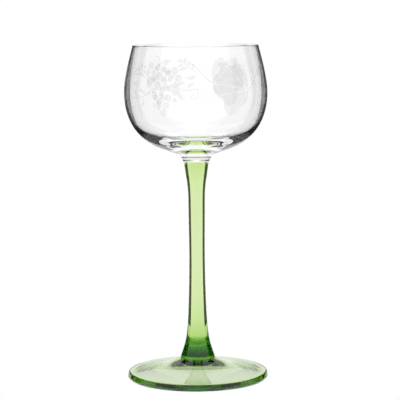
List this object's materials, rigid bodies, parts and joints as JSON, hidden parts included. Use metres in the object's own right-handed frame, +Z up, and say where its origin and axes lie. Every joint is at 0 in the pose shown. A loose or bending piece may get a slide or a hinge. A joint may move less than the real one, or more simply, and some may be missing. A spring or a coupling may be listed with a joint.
{
  "type": "wine glass",
  "caption": "Stemmed wine glass with a clear round bowl on a long green stem that flares into a green disc foot.",
  "frame": {"origin": "on the glass's own axis, at the plane of the ring that it stands on", "axes": "+Z up along the glass's own axis, from the foot to the rim; +X and +Y are free, because every piece is a solid of revolution"},
  "size_m": [0.0722, 0.0722, 0.17],
  "materials": {
    "clear_glass": "fire-polished, with a matt engraved band",
    "green_glass": "fire-polished, tinted through"
  },
  "bodies": {
    "root": {"bowl": "clear_glass", "stem": "green_glass", "foot": "green_glass"}
  },
  "joints": []
}
